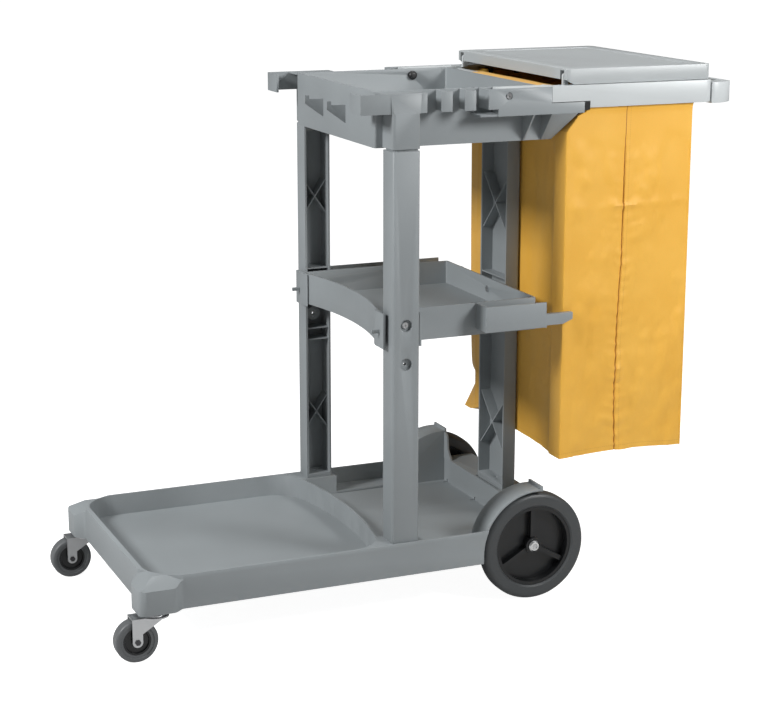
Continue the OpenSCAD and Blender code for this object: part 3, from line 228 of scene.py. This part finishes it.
# ---------------------------------------------------------------------------
# Bag frame: a paler moulded ring with two arms and a push handle. The arms
# lie in the tray's brackets, with a screw and a black knob nut each, and
# black pads fill the gaps behind the brackets.
# ---------------------------------------------------------------------------
FRAME_PALE = (0.56, 0.59, 0.598)
FRAME_EDGE = 0.0012
frame_pale = moulded_plastic("frame_pale", FRAME_PALE, roughness=0.42, variation=0.03)
moulded_copy("bag_frame", "cart", frame_pale, edge=FRAME_EDGE)
dress("frame_screws", bright_steel)
for node in ("frame_nuts", "lip_pads"):
    dress(node, black_nylon)

# ---------------------------------------------------------------------------
# Waste bag: one shell of woven, vinyl coated fabric in golden yellow, sewn
# with a lapped seam down its near face. It hangs from studs inside the ring,
# and its front hem lies over the frame's cross bar.
# ---------------------------------------------------------------------------
BAG_YELLOW = (0.84, 0.45, 0.05)
# The thread's colour, which also tints the painted shade in the lap's groove
THREAD_AND_LAP_SHADE = (0.36, 0.16, 0.018)
BAG_FRONT = 0.2446
BAG_REAR = 0.5025
BAG_SIDE = 0.222
BAG_BASE = 0.262
BAG_HEM = 0.9325
HEM_SIDE = 0.2254
HEM_REAR = 0.5345
# Heights over which the walls step out to the hem, and the cloth hangs free below
SIDE_FLARE = (0.890, 0.905)
REAR_FLARE = (0.9025, 0.914)
LET_GO = (0.80, 0.86)
NECK = 0.181
NECK_SIDE = 0.1835
BAR_TOP = 0.9353
BAR_FRONT = 0.2200
HEM_END = 0.12
CLOTH = 0.0011
SHARP_FOLD = math.radians(28)
BAG_MIDDLE = 0.373
# Steps of the mesh up the bag and round it
BAG_ROWS = 118
FRONT_STEPS = 22
NECK_STEPS = 8
CORNER_STEPS = 10
NEAR_STEPS = 16
WALL_STEPS = 40
NO_SEAM = 9.0
SEAM_STEPS = (-14, -9, -5, -2.4, -0.9, 0, 0.9, 2.4, 4, 6.5, 9, 12, 16, 21)


def ease(low, high, value):
    """0 below low, 1 above high and smooth between."""
    t = min(1.0, max(0.0, (value - low) / (high - low)))
    return t * t * (3 - 2 * t)


def track(table, z):
    """Value at a height, read between (height, value) pairs that rise in height."""
    if z <= table[0][0]:
        return table[0][1]
    for (z0, v0), (z1, v1) in zip(table, table[1:]):
        if z <= z1:
            return v0 + (v1 - v0) * (z - z0) / (z1 - z0)
    return table[-1][1]


# Heights and positions of what passes the bag: bracket wedge, lip, pad and ring
NEAR_CORNER = ((0.858, 0.2446), (0.887, 0.267), (0.892, 0.2785), (0.897, 0.2885))
FAR_CORNER = ((0.240, 0.268), (0.300, 0.277), (0.322, 0.282), (0.345, 0.272),
              (0.842, 0.2715), (0.892, 0.2785), (0.897, 0.2885))
FAR_SIDE = ((0.240, 0.2400), (0.262, 0.2370), (0.300, 0.2120), (0.323, 0.1980),
            (0.360, 0.2080), (0.42, 0.2130), (0.6, 0.2170), (0.842, 0.2190), (0.9, HEM_SIDE))
SEAM_TRACK = ((0.262, 0.3610), (0.34, 0.3570), (0.42, 0.3565), (0.52, 0.3590),
              (0.62, 0.3640), (0.76, 0.3650), (0.875, 0.3660), (0.93, 0.3660))


def crumple(x, z, wide, tall, seed):
    """Slow uneven swell, wider or taller as asked."""
    return noise.fractal(Vector((x / wide, z / tall, seed)), 0.9, 2.1, 4)


def bag_ring(z):
    """Points round the bag at one height, and the distance of each from the lapped seam."""
    side = BAG_SIDE + (HEM_SIDE - BAG_SIDE) * ease(*SIDE_FLARE, z)
    rear = BAG_REAR + (HEM_REAR - BAG_REAR) * ease(*REAR_FLARE, z)
    near = track(NEAR_CORNER, z)
    far = track(FAR_CORNER, z)
    far_side = track(FAR_SIDE, z)
    low = 1 - ease(*LET_GO, z)
    seam = track(SEAM_TRACK, z)
    ring = []

    def front(y):
        slant = 0.024 * ease(0.03, 0.21, y) * low
        sag = 0.006 * low * ease(0.06, 0.10, abs(y)) * (
            0.6 + crumple(y, z, 0.11, 0.30, 3.1)) * (1 - ease(0.17, 0.2, abs(y)))
        return BAG_FRONT - 0.0003 + slant + max(0.0, sag)

    for i in range(FRONT_STEPS):
        y = -NECK * i / FRONT_STEPS
        ring.append((front(y), y, NO_SEAM))
    for i in range(NECK_STEPS):
        t = i / NECK_STEPS
        ring.append((BAG_FRONT + (near - BAG_FRONT) * t, -NECK - (NECK_SIDE - NECK) * t, NO_SEAM))
    for i in range(CORNER_STEPS):
        y = -NECK_SIDE - (side - 0.0022 - NECK_SIDE) * i / CORNER_STEPS
        ring.append((near, y, NO_SEAM))
    ring.append((near + 0.0001, -side + 0.0022, NO_SEAM))
    ring.append((near + 0.0007, -side + 0.0008, NO_SEAM))

    def near_face(x):
        gap = x - seam
        inner = ease(near, near + 0.02, x) * (1 - ease(rear - 0.012, rear, x))
        calm = inner * low
        swell = 0.0052 * crumple(x, z, 0.075, 0.26, 7.7)
        swell += 0.0027 * crumple(x, z, 0.03, 0.05, 1.9)
        drag = (0.0030 * math.sin((z * 1.0 + x * 1.9) * 62 + 3 * crumple(x, z, 0.1, 0.1, 4.4))
                * ease(0.60, 0.86, z) * max(0.0, 1 - abs(x - 0.30) / 0.07))
        pucker = (0.0016 * math.exp(-abs(gap) / 0.016)
                  * math.sin(z * 2 * math.pi / 0.021 - abs(gap) * 90
                             + 4 * crumple(0.0, z, 1.0, 0.08, 2.2)))
        crease = 0.0024 * math.exp(-abs(z - 0.722 - 0.02 * (x - 0.36)) / 0.006)
        crease += (0.0012 * math.exp(-abs(z - 0.47 - 0.05 * (x - 0.36)) / 0.005)
                   * ease(0.36, 0.40, x))
        lap = 0.0017 * ease(-0.0004, 0.0010, gap) * (1 - ease(0.008, 0.030, gap))
        groove = 0.0015 * math.exp(-(gap + 0.0014) ** 2 / 0.0000022)
        pipe = 0.0009 * math.exp(-((x - rear + 0.0035) / 0.0016) ** 2)
        return -side + min(0.0012, -(swell + drag + pucker + crease) * calm) \
            - (lap + pipe) * low + groove * low

    for i in range(NEAR_STEPS + 1):
        x = near + 0.0022 + (seam - 0.018 - near - 0.0022) * i / NEAR_STEPS
        ring.append((x, near_face(x), x - seam))
    for step in SEAM_STEPS:
        x = seam + step / 1000
        ring.append((x, near_face(x), x - seam))
    for i in range(1, FRONT_STEPS + 1):
        x = seam + 0.022 + (rear - 0.009 - seam - 0.022) * i / FRONT_STEPS
        ring.append((x, near_face(x), x - seam))
    for back in (0.0070, 0.0052, 0.0035, 0.0018):
        x = rear - back
        ring.append((x, near_face(x), x - seam))

    for i in range(1, WALL_STEPS):
        y = -side + 2 * side * i / WALL_STEPS
        bow = 0.010 * (1 - (y / side) ** 2) * low
        folds = 0.0035 * crumple(y, z, 0.09, 0.28, 12.3) * low * (1 - (y / side) ** 2)
        ring.append((rear + bow + folds, y, NO_SEAM))

    for i in range(WALL_STEPS):
        x = rear + (far + 0.003 - rear) * i / WALL_STEPS
        slack = ease(0.30, 0.44, x)
        y = side * slack + far_side * (1 - slack)
        folds = 0.0022 * crumple(x, z, 0.08, 0.26, 21.0) * low * math.sin(math.pi * i / WALL_STEPS)
        ring.append((x, y - abs(folds), NO_SEAM))
    turn = front(NECK_SIDE) * low + far * (1 - low)
    for i in range(CORNER_STEPS):
        t = i / CORNER_STEPS
        y = far_side - (far_side - NECK_SIDE) * t
        ring.append((max(far + (turn - far) * t, near), y, NO_SEAM))
    start = max(turn, near)
    for i in range(NECK_STEPS):
        t = i / NECK_STEPS
        y = NECK + (NECK_SIDE - NECK) * (1 - t)
        ring.append((start + (front(NECK) - start) * t, y, NO_SEAM))
    for i in range(FRONT_STEPS):
        y = NECK - NECK * i / FRONT_STEPS
        ring.append((front(y), y, NO_SEAM))
    return ring


def bag_base(x, y):
    """Height of the bottom edge: it lifts along the front, behind the rear post."""
    lift = 0.011 * (1 - ease(0.05, 0.20, abs(y))) * (1 - ease(0.25, 0.32, x))
    near_lift = 0.005 * math.sin(math.pi * min(1, max(0, (x - 0.244) / 0.26))) * ease(0.15, 0.2, -y)
    far_drop = 0.014 * ease(0.15, 0.215, y) * (1 - ease(0.27, 0.34, x))
    return BAG_BASE - 0.002 + lift + near_lift - far_drop


cloth = bmesh.new()
arc_layer = cloth.verts.layers.float_vector.new("sewing")
uv_layer = cloth.loops.layers.uv.new("cloth")
heights = [BAG_BASE + (BAG_HEM - BAG_BASE) * i / BAG_ROWS for i in range(BAG_ROWS + 1)]
grid = []
for level in heights:
    ring = bag_ring(level)
    line = []
    along = 0.0
    for i, (x, y, gap) in enumerate(ring):
        if i:
            along += math.hypot(x - ring[i - 1][0], y - ring[i - 1][1])
        base = bag_base(x, y)
        z = level + (base - BAG_BASE) * (1 - ease(BAG_BASE, BAG_BASE + 0.16, level))
        vert = cloth.verts.new((x, y, z))
        vert[arc_layer] = (gap, z - base, along)
        line.append(vert)
    grid.append(line)
count = len(grid[0])
for lower, upper in zip(grid, grid[1:]):
    for i in range(count):
        j = (i + 1) % count
        cloth.faces.new((lower[i], lower[j], upper[j], upper[i]))

# Bottom panel, a little higher in the middle than at its edge
inner_line = grid[0]
for shrink, rise in ((0.93, 0.001), (0.7, 0.004), (0.35, 0.006)):
    line = []
    for vert in grid[0]:
        x = BAG_MIDDLE + (vert.co.x - BAG_MIDDLE) * shrink
        y = vert.co.y * shrink
        new = cloth.verts.new((x, y, vert.co.z + rise))
        new[arc_layer] = (NO_SEAM, 0.05, vert[arc_layer][2])
        line.append(new)
    for i in range(count):
        j = (i + 1) % count
        cloth.faces.new((line[i], line[j], inner_line[j], inner_line[i]))
    inner_line = line
cloth.faces.new(list(reversed(inner_line)))

# Front hem, up and over the cross bar and down before it
hem = [i for i, vert in enumerate(grid[-1])
       if -NECK - 1e-6 <= vert.co.y <= HEM_END and vert.co.x < BAG_FRONT + 0.0009]
split = next(k for k in range(len(hem) - 1) if hem[k + 1] - hem[k] > 1)
hem = hem[split + 1:] + hem[:split + 1]
edge = [grid[-1][i] for i in hem]
for x, z in ((0.2442, 0.9345), (0.2436, BAR_TOP), (0.239, BAR_TOP), (0.232, BAR_TOP),
             (0.225, BAR_TOP), (0.2212, BAR_TOP), (BAR_FRONT, 0.9346), (BAR_FRONT, 0.930),
             (BAR_FRONT, 0.923), (BAR_FRONT, 0.915), (BAR_FRONT, 0.908)):
    line = []
    for vert in edge:
        ripple = 0.0004 * (1 + crumple(vert.co.y, x, 0.05, 0.02, 5.0))
        new = cloth.verts.new((x, vert.co.y, z + ripple))
        new[arc_layer] = (NO_SEAM, 0.3, vert[arc_layer][2])
        line.append(new)
    for i in range(len(line) - 1):
        cloth.faces.new((edge[i], edge[i + 1], line[i + 1], line[i]))
    edge = line
bmesh.ops.recalc_face_normals(cloth, faces=cloth.faces)
for fold in cloth.edges:
    fold.smooth = len(fold.link_faces) != 2 or fold.calc_face_angle() < SHARP_FOLD
for face in cloth.faces:
    face.smooth = True
    for loop in face.loops:
        loop[uv_layer].uv = (loop.vert[arc_layer][2], loop.vert.co.z)
bag_mesh = bpy.data.meshes.new("bag_cloth")
cloth.to_mesh(bag_mesh)
cloth.free()
bag = bpy.data.objects.new("bag_cloth", bag_mesh)
bpy.context.scene.collection.objects.link(bag)
thick = bag.modifiers.new("cloth_thickness", "SOLIDIFY")
thick.thickness = CLOTH
thick.offset = -1


def bag_fabric():
    """Coated plain weave with slubs, painted shade along the groove of the lap, and rows of
    stitches.
    """
    material = bpy.data.materials.new("bag_fabric")
    material.use_nodes = True
    nodes, links = material.node_tree.nodes, material.node_tree.links
    shader = nodes["Principled BSDF"]
    shader.inputs["Sheen Weight"].default_value = 0.15
    place = nodes.new("ShaderNodeTexCoord")
    sewing = nodes.new("ShaderNodeAttribute")
    sewing.attribute_name = "sewing"
    parts = nodes.new("ShaderNodeSeparateXYZ")
    links.new(sewing.outputs["Vector"], parts.inputs["Vector"])

    def maths(kind, a, b=None, clamp=False):
        step = nodes.new("ShaderNodeMath")
        step.operation = kind
        step.use_clamp = clamp
        for socket, value in zip(step.inputs, (a, b)):
            if value is None:
                continue
            if isinstance(value, (int, float)):
                socket.default_value = value
            else:
                links.new(value, socket)
        return step.outputs["Value"]

    def mix(kind, factor, a, b):
        step = nodes.new("ShaderNodeMix")
        step.data_type = "RGBA"
        step.blend_type = kind
        for name, value in (("Factor", factor), ("A", a), ("B", b)):
            if isinstance(value, (int, float)):
                step.inputs[name].default_value = value
            elif isinstance(value, tuple):
                step.inputs[name].default_value = (*value, 1)
            else:
                links.new(value, step.inputs[name])
        return step.outputs["Result"]

    gap, above, along = (parts.outputs[i] for i in range(3))
    cloud = nodes.new("ShaderNodeTexNoise")
    cloud.inputs["Scale"].default_value = 9.0
    cloud.inputs["Detail"].default_value = 6.0
    links.new(place.outputs["Object"], cloud.inputs["Vector"])
    slub = nodes.new("ShaderNodeTexNoise")
    slub.inputs["Scale"].default_value = 700.0
    slub.inputs["Detail"].default_value = 3.0
    links.new(place.outputs["Object"], slub.inputs["Vector"])
    tone = nodes.new("ShaderNodeValToRGB")
    low, high = tone.color_ramp.elements
    low.position, high.position = 0.3, 0.72
    low.color = (*(c * f for c, f in zip(BAG_YELLOW, (0.96, 0.93, 0.85))), 1)
    high.color = (*(min(1, c * f) for c, f in zip(BAG_YELLOW, (1.03, 1.06, 1.3))), 1)
    links.new(cloud.outputs["Fac"], tone.inputs["Fac"])
    colour = mix("MULTIPLY", 0.12, tone.outputs["Color"], slub.outputs["Color"])

    # Threads of warp and weft, about 0.7 mm apart
    waves = []
    for direction in ("X", "Y"):
        wave = nodes.new("ShaderNodeTexWave")
        wave.wave_type = "BANDS"
        wave.bands_direction = direction
        wave.inputs["Scale"].default_value = 440.0
        wave.inputs["Distortion"].default_value = 0.6
        links.new(place.outputs["UV"], wave.inputs["Vector"])
        waves.append(wave.outputs["Fac"])
    weave = maths("MULTIPLY", waves[0], waves[1])

    # Painted shade along the groove of the lap, and two stitched rows
    lap_shade_line = maths("LESS_THAN", maths("ABSOLUTE", maths("ADD", gap, 0.0012)), 0.0009)
    colour = mix("MULTIPLY", maths("MULTIPLY", lap_shade_line, 0.75), colour, THREAD_AND_LAP_SHADE)
    dash_down = maths("LESS_THAN", maths("FRACT", maths("MULTIPLY", above, 240.0)), 0.62)
    dash_across = maths("LESS_THAN", maths("FRACT", maths("MULTIPLY", along, 240.0)), 0.62)
    seam_row = maths("LESS_THAN", maths("ABSOLUTE", maths("SUBTRACT", gap, 0.0075)), 0.0005)
    base_row = maths("LESS_THAN", maths("ABSOLUTE", maths("SUBTRACT", above, 0.009)), 0.0005)
    stitch = maths("ADD", maths("MULTIPLY", seam_row, dash_down),
                   maths("MULTIPLY", base_row, dash_across), clamp=True)
    colour = mix("MIX", maths("MULTIPLY", stitch, 0.35), colour, THREAD_AND_LAP_SHADE)
    links.new(colour, shader.inputs["Base Color"])

    gloss = nodes.new("ShaderNodeMapRange")
    gloss.inputs["To Min"].default_value = 0.42
    gloss.inputs["To Max"].default_value = 0.62
    links.new(slub.outputs["Fac"], gloss.inputs["Value"])
    links.new(gloss.outputs["Result"], shader.inputs["Roughness"])
    height = maths("ADD", maths("MULTIPLY", weave, 0.6),
                   maths("MULTIPLY", slub.outputs["Fac"], 0.5))
    height = maths("SUBTRACT", height, maths("MULTIPLY", stitch, 1.5))
    bump = nodes.new("ShaderNodeBump")
    bump.inputs["Strength"].default_value = 0.3
    bump.inputs["Distance"].default_value = 0.0003
    links.new(height, bump.inputs["Height"])
    links.new(bump.outputs["Normal"], shader.inputs["Normal"])
    return material


bag_mesh.materials.append(bag_fabric())
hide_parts("waste_bag")
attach(bag, "cart")
dress("bag_studs", black_nylon)

# ---------------------------------------------------------------------------
# Lid: a shallow moulded cover over the ring, its border raised round a sunk
# panel. Steel pins in its cheeks turn in the two ears of the frame.
# ---------------------------------------------------------------------------
LID_PALE = (0.43, 0.455, 0.462)
LID_EDGE = 0.0022
lid_pale = moulded_plastic("lid_pale", LID_PALE, roughness=0.40, variation=0.03)
moulded_copy("lid", "lid", lid_pale, edge=LID_EDGE)
dress("lid_pins", bright_steel)

# ---------------------------------------------------------------------------
# Room: a pale floor that runs out of sight, soft boxes at the cart's near rear
# corner, before its front and overhead, and the camera at chest height before
# the near front corner.
# ---------------------------------------------------------------------------
FLOOR_SIZE = 30
FLOOR_TONE = 0.55
FLOOR_GLOW = 0.95
FILL_LIGHT = 0.2
WHITE = (1, 1, 1, 1)
SENSOR_MM = 36.0
LENS_MM = 87.6051954
CAMERA_PLACE = (-1.35588, -3.17185, 1.27172)
CAMERA_TURN = -23.236
CAMERA_TILT = 90 - 13.671
CAMERA_ROLL = 0.093

floor_mesh = bpy.data.meshes.new("floor")
plane = bmesh.new()
bmesh.ops.create_grid(plane, x_segments=1, y_segments=1, size=FLOOR_SIZE)
plane.to_mesh(floor_mesh)
plane.free()
floor = bpy.data.objects.new("floor", floor_mesh)
bpy.context.scene.collection.objects.link(floor)
paper = bpy.data.materials.new("paper")
paper.use_nodes = True
paper_nodes, paper_links = paper.node_tree.nodes, paper.node_tree.links
sheet_white = paper_nodes["Principled BSDF"]
sheet_white.inputs["Base Color"].default_value = (FLOOR_TONE, FLOOR_TONE, FLOOR_TONE, 1)
sheet_white.inputs["Roughness"].default_value = 0.9
sheet_white.inputs["Emission Color"].default_value = WHITE
watched = paper_nodes.new("ShaderNodeLightPath")
glow = paper_nodes.new("ShaderNodeMath")
glow.operation = "MULTIPLY"
glow.inputs[1].default_value = FLOOR_GLOW
paper_links.new(watched.outputs["Is Camera Ray"], glow.inputs[0])
paper_links.new(glow.outputs["Value"], sheet_white.inputs["Emission Strength"])
floor_mesh.materials.append(paper)

world = bpy.data.worlds.new("studio")
world.use_nodes = True
sky, sky_links = world.node_tree.nodes, world.node_tree.links
fill = sky["Background"]
fill.inputs["Color"].default_value = WHITE
fill.inputs["Strength"].default_value = FILL_LIGHT
white = sky.new("ShaderNodeBackground")
white.inputs["Color"].default_value = WHITE
white.inputs["Strength"].default_value = 1.0
seen = sky.new("ShaderNodeLightPath")
choose = sky.new("ShaderNodeMixShader")
sky_links.new(seen.outputs["Is Camera Ray"], choose.inputs["Fac"])
sky_links.new(fill.outputs["Background"], choose.inputs[1])
sky_links.new(white.outputs["Background"], choose.inputs[2])
sky_links.new(choose.outputs["Shader"], sky["World Output"].inputs["Surface"])
bpy.context.scene.world = world


def soft_light(name, place, aim, size, power):
    """A square soft box at a place, turned to face a point."""
    light = bpy.data.lights.new(name, "AREA")
    light.size = size
    light.energy = power
    lamp = bpy.data.objects.new(name, light)
    bpy.context.scene.collection.objects.link(lamp)
    lamp.location = place
    lamp.rotation_euler = (Vector(aim) - Vector(place)).to_track_quat("-Z", "Y").to_euler()


soft_light("key_light", (1.15, -1.65, 1.6), (0.25, 0, 0.65), 0.6, 33)
soft_light("front_light", (-3.0, -0.5, 2.3), (-0.1, 0, 0.45), 0.7, 104)
soft_light("top_light", (0.0, 0.1, 3.0), (-0.1, 0, 0.3), 1.0, 22)

camera_data = bpy.data.cameras.new("camera")
camera_data.sensor_width = SENSOR_MM
camera_data.lens = LENS_MM
camera_data.clip_end = 100
camera = bpy.data.objects.new("camera", camera_data)
bpy.context.scene.collection.objects.link(camera)
camera.matrix_world = (
    Matrix.Translation(CAMERA_PLACE)
    @ Matrix.Rotation(math.radians(CAMERA_TURN), 4, "Z")
    @ Matrix.Rotation(math.radians(CAMERA_TILT), 4, "X")
    @ Matrix.Rotation(math.radians(CAMERA_ROLL), 4, "Z"))
bpy.context.scene.camera = camera
bpy.context.scene.view_settings.view_transform = "Standard"
